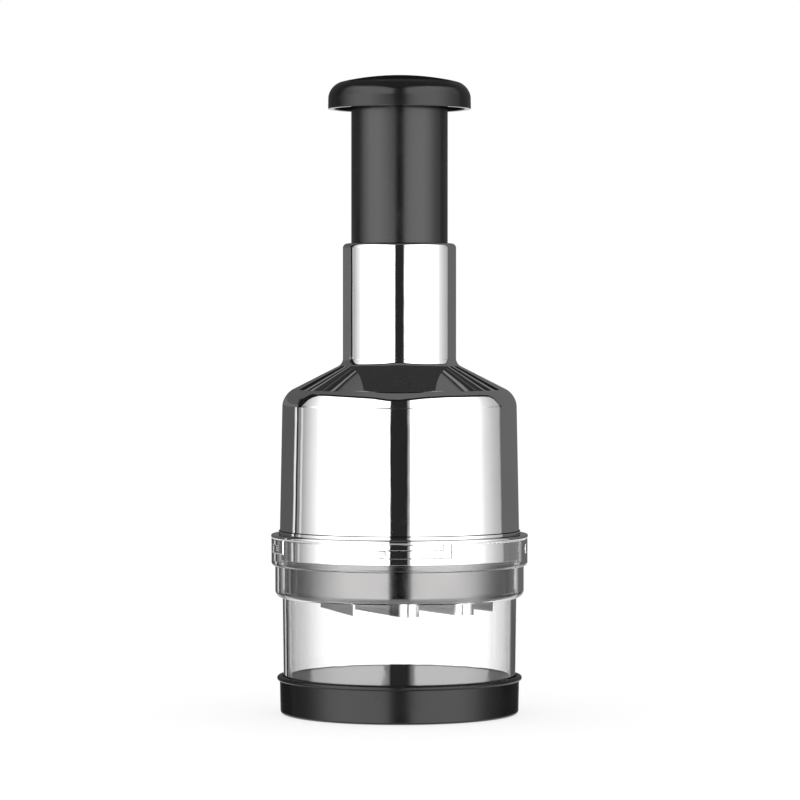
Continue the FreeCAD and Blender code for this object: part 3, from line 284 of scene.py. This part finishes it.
floor_mesh = bmesh.new()
bmesh.ops.create_circle(floor_mesh, cap_ends=True, segments=96, radius=FLOOR_RADIUS)
floor_data = bpy.data.meshes.new("floor")
floor_mesh.to_mesh(floor_data)
floor_mesh.free()
floor = bpy.data.objects.new("floor", floor_data)
bpy.context.scene.collection.objects.link(floor)
floor.location.z = -FLOOR_DROP
floor.visible_glossy = False
floor_paint = bpy.data.materials.new("pale_floor")
floor_paint.use_nodes = True
tree = floor_paint.node_tree
tree.nodes.clear()
ray = add(tree, "LightPath").outputs
matt = add(tree, "BsdfDiffuse", {"Color": FLOOR_GREY})
shadowed = add(tree, "BsdfDiffuse", {"Color": SHADOW_GREY})
glow = blend(tree, ray["Is Transmission Ray"], FLOOR_GLOW, FLOOR_GLOW_IN_CLEAR)
glowing = add(tree, "Emission", {"Strength": glow})
white = add(tree, "AddShader", {0: shadowed.outputs[0], 1: glowing.outputs[0]})
straight = maths(tree, "MAXIMUM", ray["Is Camera Ray"], ray["Is Transmission Ray"])
paint = add(tree, "MixShader", {0: straight, 1: matt.outputs[0], 2: white.outputs[0]})
add(tree, "OutputMaterial", {"Surface": paint.outputs[0]})
floor_data.materials.append(floor_paint)

# ---- steel shell ----
# The housing is one deep-drawn steel sheet, 0.75 mm thick, plated bright: a skirt that drops in the
# cup's collar, the body, a sloping shoulder and the neck, whose mouth is turned in over the bearing.

MM = 0.001
SHEET = 0.75
SKIRT_RADIUS, SKIRT_FOOT, SKIRT_TOP = 43.2, 56.0, 66.2
BODY_RADIUS, BODY_TOP, BODY_ROUND = 42.2, 115.05, 7.0
NECK_RADIUS, NECK_FOOT, NECK_ROUND = 20.42, 126.148, 3.0
MOUTH_RADIUS, MOUTH_TOP, MOUTH_ROUND = 17.75, 169.498, 1.6
SLOPE_DROP = 0.46           # the sloping sheet's inside lies this much lower at its corners
FACETS = 256                # round a turned piece
ROUNDING_STEP = 4           # degrees
LONGEST_RUN = 2.0           # of a straight stretch of an outline
EASE = 0.1                  # a short stretch beside each corner keeps the shading true
SHARP_ANGLE = 35


def made(name, mesh):
    """Makes the finished mesh an object, smooth but for its sharp edges."""
    data = bpy.data.meshes.new(name)
    mesh.to_mesh(data)
    mesh.free()
    data.shade_smooth()
    data.set_sharp_from_angle(angle=math.radians(SHARP_ANGLE))
    piece = bpy.data.objects.new(name, data)
    bpy.context.scene.collection.objects.link(piece)
    return piece


def turned(name, outline):
    """Spins a closed outline of (radius, height, rounding) corners in millimetres about Z."""
    mesh = bmesh.new()
    corners = [mesh.verts.new((radius * MM, 0, height * MM)) for radius, height, _ in outline]
    for one, two in zip(corners, corners[1:] + corners[:1]):
        mesh.edges.new((one, two))
    for corner, (_, _, rounding) in zip(corners, outline):
        if rounding:
            one, two = (edge.other_vert(corner).co - corner.co for edge in corner.link_edges)
            bend = math.pi - one.angle(two)
            bmesh.ops.bevel(mesh, geom=[corner], offset=rounding * MM * math.tan(bend / 2), affect="VERTICES",
                            segments=max(4, round(math.degrees(bend) / ROUNDING_STEP)), profile=0.5,
                            material=-1)
    for edge in mesh.edges[:]:
        if edge.calc_length() > MM:
            one, two = edge.verts
            other = bmesh.utils.edge_split(edge, one, EASE * MM / edge.calc_length())[0]
            longer = max(edge, other, key=lambda part: part.calc_length())
            bmesh.utils.edge_split(longer, two, EASE * MM / longer.calc_length())
    for edge in mesh.edges[:]:
        cuts = int(edge.calc_length() / (LONGEST_RUN * MM))
        if cuts:
            bmesh.ops.subdivide_edges(mesh, edges=[edge], cuts=cuts)
    bmesh.ops.spin(mesh, geom=mesh.verts[:] + mesh.edges[:], cent=(0, 0, 0), axis=(0, 0, 1),
                   angle=2 * math.pi, steps=FACETS, use_merge=True)
    bmesh.ops.remove_doubles(mesh, verts=mesh.verts, dist=1e-6)
    bmesh.ops.recalc_face_normals(mesh, faces=mesh.faces)
    return made(name, mesh)


def marks_group():
    """Handling marks as masks: broad smudges, fine scratches, dust specks and rubbed edges."""
    group = bpy.data.node_groups.new("handling_marks", "ShaderNodeTree")
    for name in ("Smudge Scale", "Scratch Scale", "Speck Scale"):
        group.interface.new_socket(name, in_out="INPUT", socket_type="NodeSocketFloat")
    for name in ("Smudge", "Scratches", "Specks", "Edge"):
        group.interface.new_socket(name, in_out="OUTPUT", socket_type="NodeSocketFloat")
    scale = group.nodes.new("NodeGroupInput").outputs
    place = add(group, "TexCoord").outputs["Object"]
    smudge = add(group, "TexNoise", {
        "Vector": place, "Scale": scale["Smudge Scale"], "Detail": 4.0, "Roughness": 0.55})
    drawn_out = add(group, "Mapping", {"Vector": place, "Rotation": (0.3, 0.5, 0.2), "Scale": (1, 0.04, 1)})
    scratch = add(group, "TexNoise", {
        "Vector": drawn_out.outputs[0], "Scale": scale["Scratch Scale"], "Detail": 2.0})
    thin = maths(group, "ABSOLUTE", maths(group, "SUBTRACT", scratch.outputs[0], 0.5))
    rare = add(group, "TexNoise", {"Vector": place, "Scale": 120.0, "Detail": 1.0})
    scratches = times(group, smooth_step(group, thin, 0.012, 0.002),
                      smooth_step(group, rare.outputs[0], 0.55, 0.7))
    speck = add(group, "TexVoronoi", {"Vector": place, "Scale": scale["Speck Scale"], "Randomness": 1.0})
    chance = parts(group, speck.outputs["Color"])[0]
    specks = times(group, smooth_step(group, speck.outputs["Distance"], 0.22, 0.12),
                   maths(group, "GREATER_THAN", chance, 0.93))
    masks = {
        "Smudge": smooth_step(group, smudge.outputs[0], 0.42, 0.68), "Scratches": scratches, "Specks": specks,
        "Edge": smooth_step(group, add(group, "NewGeometry").outputs["Pointiness"], 0.52, 0.60),
    }
    result = group.nodes.new("NodeGroupOutput").inputs
    for name, mask in masks.items():
        group.links.new(mask, result[name])
    return group


MARKS = marks_group()


def marks(tree, smudge, scratch, speck):
    """The masks of the handling marks, at the scales that suit a piece."""
    node = tree.nodes.new("ShaderNodeGroup")
    node.node_tree = MARKS
    for socket, scale in zip(node.inputs, (smudge, scratch, speck)):
        socket.default_value = scale
    return node.outputs


def material(name):
    """An empty material, its node tree and its Object coordinates."""
    finish = bpy.data.materials.new(name)
    finish.use_nodes = True
    finish.node_tree.nodes.clear()
    return finish, finish.node_tree, add(finish.node_tree, "TexCoord").outputs["Object"]


def tint(tree, share, first, second, blend_type="MIX"):
    """Mixes two colours by a mask. Each is a socket or its red, green and blue."""
    values = {0: share}
    for key, colour in ((6, first), (7, second)):
        values[key] = colour if isinstance(colour, bpy.types.NodeSocket) else (*colour, 1)
    return add(tree, "Mix", values, data_type="RGBA", blend_type=blend_type).outputs[2]


def roughened(tree, roughness, mark, smudged, scratched=0):
    """A roughness that handling marks raise."""
    rough = maths(tree, "ADD", roughness, times(tree, mark["Smudge"], smudged))
    return maths(tree, "ADD", rough, times(tree, mark["Scratches"], scratched)) if scratched else rough


def surface(tree, values, height, distance):
    """Makes the Principled shader, with a bump of a height in metres, the material's surface."""
    bump = add(tree, "Bump", {"Height": height, "Distance": distance})
    shader = add(tree, "BsdfPrincipled", {**values, "Normal": bump.outputs[0]})
    add(tree, "OutputMaterial", {"Surface": shader.outputs[0]})


def bright_plate(name, painted_shadow_above=None):
    """Bright plating over drawn sheet: a faint wave from the drawing, smudges, hairline scratches, and a
    painted shadow in near black above a given height.
    """
    finish, tree, place = material(name)
    mark = marks(tree, 55.0, 500.0, 700.0)
    waves = add(tree, "TexNoise", {"Vector": place, "Scale": 70.0, "Detail": 2.0, "Roughness": 0.4})
    colour = tint(tree, mark["Smudge"], (0.93, 0.93, 0.935), (0.90, 0.90, 0.90))
    # Painted shadow: above this height the plating is painted near black.
    if painted_shadow_above:
        painted_seam_shadow = maths(tree, "GREATER_THAN", parts(tree, place)[2], painted_shadow_above * MM)
        colour = tint(tree, painted_seam_shadow, colour, (0.03, 0.03, 0.03))
    rough = roughened(tree, 0.03, mark, 0.02, 0.08)
    surface(tree, {"Base Color": colour, "Metallic": 1.0, "Roughness": rough}, waves.outputs[0], 0.00006)
    return finish


def finished(piece, finish, body, node):
    """Gives a new piece its material and body, and hides the node that it stands for."""
    piece.data.materials.append(finish)
    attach(piece, body)
    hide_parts(node)


shell = turned("housing_shell", [
    (SKIRT_RADIUS - SHEET, SKIRT_FOOT, 0), (SKIRT_RADIUS, SKIRT_FOOT, 0.2), (SKIRT_RADIUS, SKIRT_TOP, 0),
    (BODY_RADIUS, BODY_TOP, BODY_ROUND), (NECK_RADIUS, NECK_FOOT, NECK_ROUND),
    (NECK_RADIUS, MOUTH_TOP, MOUTH_ROUND), (MOUTH_RADIUS, MOUTH_TOP, 0.3),
    (MOUTH_RADIUS, MOUTH_TOP - SHEET, 0),
    (NECK_RADIUS - SHEET, MOUTH_TOP - SHEET, MOUTH_ROUND / 2),
    (NECK_RADIUS - SHEET, NECK_FOOT - SLOPE_DROP, NECK_ROUND + SHEET),
    (BODY_RADIUS - SHEET, BODY_TOP - SLOPE_DROP, BODY_ROUND - SHEET), (SKIRT_RADIUS - SHEET, SKIRT_TOP, 0),
])
finished(shell, bright_plate("bright_plating"), "housing", "steel_shell")

# ---- trim ring ----
# A thin brim, plated as the housing is, with a short sleeve that is pressed on the skirt. It closes
# the joint between cup and housing. The top of its sleeve is painted near black, a painted shadow in the gap
# between the sleeve and the body.

SLEEVE_BORE, SLEEVE_RADIUS = 43.22, 43.57
BRIM_RADIUS, BRIM_FOOT, BRIM_TOP, BRIM_ROUND = 46.39, 63.5, 64.8, 0.55
# Above this height the sleeve is painted near black, a painted shadow in the gap to the body.
PAINTED_SHADOW_FOOT = 65.85

brim = turned("trim_brim", [
    (SLEEVE_BORE, BRIM_FOOT, 0), (BRIM_RADIUS, BRIM_FOOT, BRIM_ROUND), (BRIM_RADIUS, BRIM_TOP, BRIM_ROUND),
    (SLEEVE_RADIUS, BRIM_TOP, 0.15), (SLEEVE_RADIUS, SKIRT_TOP, 0.12), (SLEEVE_BORE, SKIRT_TOP, 0),
])
finished(brim, bright_plate("brim_plating", PAINTED_SHADOW_FOOT), "housing", "trim_ring")

# ---- knob ----
# A domed cap of satin black moulded plastic, hollow underneath, with a polished lip. Its socket
# takes the stem's end, and three screws hold it from below.

KNOB_TOP, CROWN_CURVE = 229.995, 94
CROWN_RINGS = (19, 16, 13, 10, 7, 4, 2)
SOCKET_BORE, SOCKET_RADIUS, SOCKET_FOOT, SOCKET_ROOF = 17.42, 19.42, 219.35, 226.0
RIM_BORE, RIM_RADIUS, RIM_FOOT = 23.55, 25.75, 217.85
ROOF_AT_SOCKET, ROOF_AT_RIM, ROOF_ROUND = 225.773, 223.6, 2.0
BROW_RADIUS, BROW_HEIGHT, BROW_ROUND = 25.6, 226.447, 6.0
POLISHED_BELOW = 217.95


def black_plastic(name, roughness, gloss=0.5, grain=0.000012, polished_below=None):
    """Moulded black plastic: fine grain, uneven gloss, rubbed edges, dust, and maybe a polished lip."""
    finish, tree, place = material(name)
    mark = marks(tree, 60.0, 700.0, 1100.0)
    bumps = add(tree, "TexNoise", {"Vector": place, "Scale": 1800.0, "Detail": 2.0}).outputs[0]
    flow = add(tree, "TexNoise", {"Vector": place, "Scale": 45.0, "Detail": 2.0})
    shade = tint(tree, flow.outputs[0], (0.006, 0.006, 0.006), (0.0078, 0.0078, 0.0075))
    shade = tint(tree, times(tree, mark["Edge"], 0.15), shade, (0.05, 0.05, 0.05))
    shade = tint(tree, times(tree, mark["Specks"], 0.10), shade, (0.3, 0.3, 0.29))
    rough = roughened(tree, roughness, mark, 0.04, 0.12)
    if polished_below:
        satin = maths(tree, "GREATER_THAN", parts(tree, place)[2], polished_below * MM)
        rough = blend(tree, satin, 0.03, rough)
        bumps = times(tree, bumps, satin)
    surface(tree, {"Base Color": shade, "Roughness": rough, "Specular IOR Level": gloss}, bumps, grain)
    return finish


crown_centre = KNOB_TOP - CROWN_CURVE
crown = [(radius, crown_centre + math.sqrt(CROWN_CURVE ** 2 - radius ** 2), 0) for radius in CROWN_RINGS]
cap = turned("knob_cap", [
    (0, KNOB_TOP, 0), (0, SOCKET_ROOF, 0), (SOCKET_BORE, SOCKET_ROOF, 0), (SOCKET_BORE, SOCKET_FOOT, 0),
    (SOCKET_RADIUS, SOCKET_FOOT, 0.3), (SOCKET_RADIUS, ROOF_AT_SOCKET, 0),
    (RIM_BORE, ROOF_AT_RIM, ROOF_ROUND),
    (RIM_BORE, RIM_FOOT, 0.4), (RIM_RADIUS, RIM_FOOT, 0.3), (BROW_RADIUS, BROW_HEIGHT, BROW_ROUND), *crown,
])
satin_black = black_plastic("satin_black_plastic", 0.19, 0.55, polished_below=POLISHED_BELOW)
finished(cap, satin_black, "plunger", "knob")

# ---- stem ----
# A black moulded tube that slides in the bearing in the neck. A stop flange at its foot, inside the
# housing, keeps it from coming out.


def dressed(node, finish):
    """Gives a carried-over node its material."""
    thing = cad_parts[node]
    for place in thing.material_slots:
        place.material = finish


dressed("stem", black_plastic("stem_black_plastic", 0.19, 0.72))

# ---- base tray ----
# A black moulded tray that the cup stands on. Its raised chopping floor is polished, and round it
# run a groove for the cup's rim and a beaded lip.

CHOPPING_RADIUS = 39.45
CHOPPING_HEIGHT = 13.5
CHOPPING_ROUGHNESS = 0.035

tray_black = black_plastic("tray_black_plastic", 0.22, grain=0.000004)
tree = tray_black.node_tree
place = add(tree, "TexCoord").outputs["Object"]
across = add(tree, "VectorMath", {0: place, 1: (1, 1, 0)}, operation="MULTIPLY").outputs[0]
radius = add(tree, "VectorMath", {0: across}, operation="LENGTH").outputs["Value"]
polished = times(tree, maths(tree, "LESS_THAN", radius, CHOPPING_RADIUS * MM),
                 maths(tree, "GREATER_THAN", parts(tree, place)[2], CHOPPING_HEIGHT * MM))
roughness = tree.nodes["Principled BSDF"].inputs["Roughness"]
tree.links.new(blend(tree, polished, roughness.links[0].from_socket, CHOPPING_ROUGHNESS), roughness)
dressed("base_tray", tray_black)

# ---- guard ----
# A cup of highly polished black plastic in the lower collar. The blade goes through the zigzag
# slot in its floor, which wipes it clean, and turns the guard as it turns.

guard_black, tree, place = material("polished_guard")
mark = marks(tree, 60.0, 500.0, 900.0)
ripple = add(tree, "TexNoise", {"Vector": place, "Scale": 90.0, "Detail": 2.0})
slant = add(tree, "LayerWeight", {"Blend": 0.5}).outputs["Facing"]
shade = tint(tree, mark["Smudge"], (0.205, 0.202, 0.20), (0.185, 0.182, 0.18))
# Painted shade: the dark mirror colour fades to black where the guard is seen at a slant.
shade = tint(tree, smooth_step(tree, slant, 0.28, 0.52), shade, (0.005, 0.005, 0.005))
rough = roughened(tree, 0.13, mark, 0.05)
surface(tree, {"Base Color": shade, "Metallic": 1.0, "Roughness": rough}, ripple.outputs[0], 0.00002)
dressed("guard_cup", guard_black)

# ---- clear cup ----
# A clear moulded cup: a plain wall below and two stepped collars above. J-shaped bayonet grooves in
# the upper collar's inside take the housing's lugs.

GROOVE_RADIUS, GROOVE_DEPTH = 44.17, 0.61
GROOVE_MIDDLE, GROOVE_REACH = 59.6, 3.7
WALL_REACH = 0.05
# (place across the cup in metres, tint): painted shade, up to 16% darker on the cup's left side.
SIDE_PAINTED_SHADE = [
    (-0.045, 0.88), (-0.037, 0.84), (-0.030, 0.88), (-0.025, 0.91), (-0.018, 1.0), (0.05, 1.0),
]

clear, tree, place = material("clear_moulding")
mark = marks(tree, 50.0, 400.0, 600.0)
flow = add(tree, "TexNoise", {"Vector": place, "Scale": 120.0, "Detail": 2.0})
bump = add(tree, "Bump", {"Height": flow.outputs[0], "Distance": 0.00002})
slant = add(tree, "LayerWeight", {"Blend": 0.5}).outputs["Facing"]
along, _, height = parts(tree, place)
# Painted shade: the glass is tinted grey where it is seen at a slant, darkening the cup's edges.
shade = tint(tree, smooth_step(tree, slant, 0.24, 0.50), (1, 1, 1), (0.80, 0.80, 0.80))
shade = tint(tree, 1.0, shade, graph(tree, along, -WALL_REACH, WALL_REACH, SIDE_PAINTED_SHADE), "MULTIPLY")
across = add(tree, "VectorMath", {0: place, 1: (1, 1, 0)}, operation="MULTIPLY").outputs[0]
radius = add(tree, "VectorMath", {0: across}, operation="LENGTH").outputs["Value"]
# Painted shade: the bayonet grooves in the upper collar's inside are tinted almost black.
off_radius = maths(tree, "ABSOLUTE", maths(tree, "SUBTRACT", radius, GROOVE_RADIUS * MM))
off_height = maths(tree, "ABSOLUTE", maths(tree, "SUBTRACT", height, GROOVE_MIDDLE * MM))
groove_painted_shade = times(tree, maths(tree, "LESS_THAN", off_radius, GROOVE_DEPTH * MM),
               maths(tree, "LESS_THAN", off_height, GROOVE_REACH * MM))
shade = tint(tree, groove_painted_shade, shade, (0.05, 0.05, 0.05))
glass = add(tree, "BsdfPrincipled", {
    "Base Color": shade, "Roughness": times(tree, mark["Smudge"], 0.012), "IOR": 1.49,
    "Transmission Weight": 1.0, "Normal": bump.outputs[0],
})
# Light and mirrored rays pass straight through, so that what stands in the cup is lit and mirrored.
ray = add(tree, "LightPath").outputs
passing = maths(tree, "MAXIMUM", ray["Is Diffuse Ray"], maths(tree, "GREATER_THAN", ray["Glossy Depth"], 0.5))
passing = maths(tree, "MAXIMUM", ray["Is Shadow Ray"], passing)
clear_air = add(tree, "BsdfTransparent")
clear_mix = add(tree, "MixShader", {0: passing, 1: glass.outputs[0], 2: clear_air.outputs[0]})
add(tree, "OutputMaterial", {"Surface": clear_mix.outputs[0]})
dressed("clear_cup", clear)

# ---- blade ----
# One strip of stainless steel, bent to and fro and brushed along its length. Its lower edge is
# ground sharp and its upper edge sits in the holder's slot.

blade_finish, tree, place = material("brushed_blade_steel")
brushed_way = add(tree, "Mapping", {"Vector": place, "Scale": (1, 1, 60)}).outputs[0]
brushing = add(tree, "TexNoise", {"Vector": brushed_way, "Scale": 60.0, "Detail": 5.0, "Roughness": 0.7})
rough = maths(tree, "ADD", 0.16, times(tree, brushing.outputs[0], 0.16))
shade = tint(tree, brushing.outputs[0], (0.72, 0.72, 0.725), (0.86, 0.86, 0.86))
surface(tree, {"Base Color": shade, "Metallic": 1.0, "Roughness": rough}, brushing.outputs[0], 0.00001)
dressed("zigzag_blade", blade_finish)

# ---- steel fittings ----
# Lugs, spindle, pin, screws and washers are turned steel. The lugs are fixed in the skirt, and the
# other pieces hold the knob, the stem, the spring and the blade together.


def worked_steel(name, colour, roughness, scale):
    """Turned or drawn steel: fine tool marks round the piece, darker where oil stays."""
    finish, tree, place = material(name)
    round_about = add(tree, "Mapping", {"Vector": place, "Scale": (1, 1, 30)}).outputs[0]
    tool = add(tree, "TexNoise", {"Vector": round_about, "Scale": scale, "Detail": 3.0})
    mark = marks(tree, 150.0, 600.0, 900.0)
    rough = maths(tree, "ADD", roughness, times(tree, tool.outputs[0], 0.15))
    shade = tint(tree, mark["Smudge"], colour, tuple(0.75 * part for part in colour))
    surface(tree, {"Base Color": shade, "Metallic": 1.0, "Roughness": rough}, tool.outputs[0], 0.00001)
    return finish


turned_steel = worked_steel("turned_steel_fittings", (0.68, 0.68, 0.68), 0.22, 120.0)
for node in ("bayonet_lugs", "spring_seat", "knob_screws", "spring_washer", "spindle", "spindle_washer",
             "spindle_screw", "hub_pin"):
    dressed(node, turned_steel)

# ---- return spring ----
# A coil of drawn wire round the spindle's tower, its foot on the seat in the housing. On the chopper
# the coils close as the knob is pressed; here the coil keeps its shape from model.glb and is not made to
# move.

coils = bmesh.new()
coils.from_mesh(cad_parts["return_spring"].data)
bmesh.ops.remove_doubles(coils, verts=coils.verts, dist=1e-6)
spring = made("closing_coils", coils)
spring.data.materials.append(worked_steel("drawn_spring_wire", (0.50, 0.49, 0.47), 0.30, 90.0))
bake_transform(spring)
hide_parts("return_spring")

# ---- moulded inner pieces ----
# The frame, the blade holder and the tower's cap are moulded in a tough pale plastic; the bearing,
# the nut and the ratchet ring are of a slippery natural one.


def plain_moulding(name, colour, roughness):
    """Unpolished moulding: a matt grain and slightly uneven colour."""
    finish, tree, place = material(name)
    mark = marks(tree, 50.0, 600.0, 900.0)
    grain = add(tree, "TexNoise", {"Vector": place, "Scale": 1200.0, "Detail": 2.0})
    shade = tint(tree, mark["Smudge"], colour, tuple(0.9 * part for part in colour))
    rough = roughened(tree, roughness, mark, 0.08)
    surface(tree, {"Base Color": shade, "Roughness": rough}, grain.outputs[0], 0.00002)
    return finish


frame_plastic = plain_moulding("pale_frame_plastic", (0.55, 0.56, 0.57), 0.45)
bearing_plastic = plain_moulding("natural_bearing_plastic", (0.74, 0.72, 0.66), 0.38)
for node in ("inner_frame", "tower_cap", "blade_holder"):
    dressed(node, frame_plastic)
for node in ("guide_sleeve", "index_nut", "ratchet_ring"):
    dressed(node, bearing_plastic)
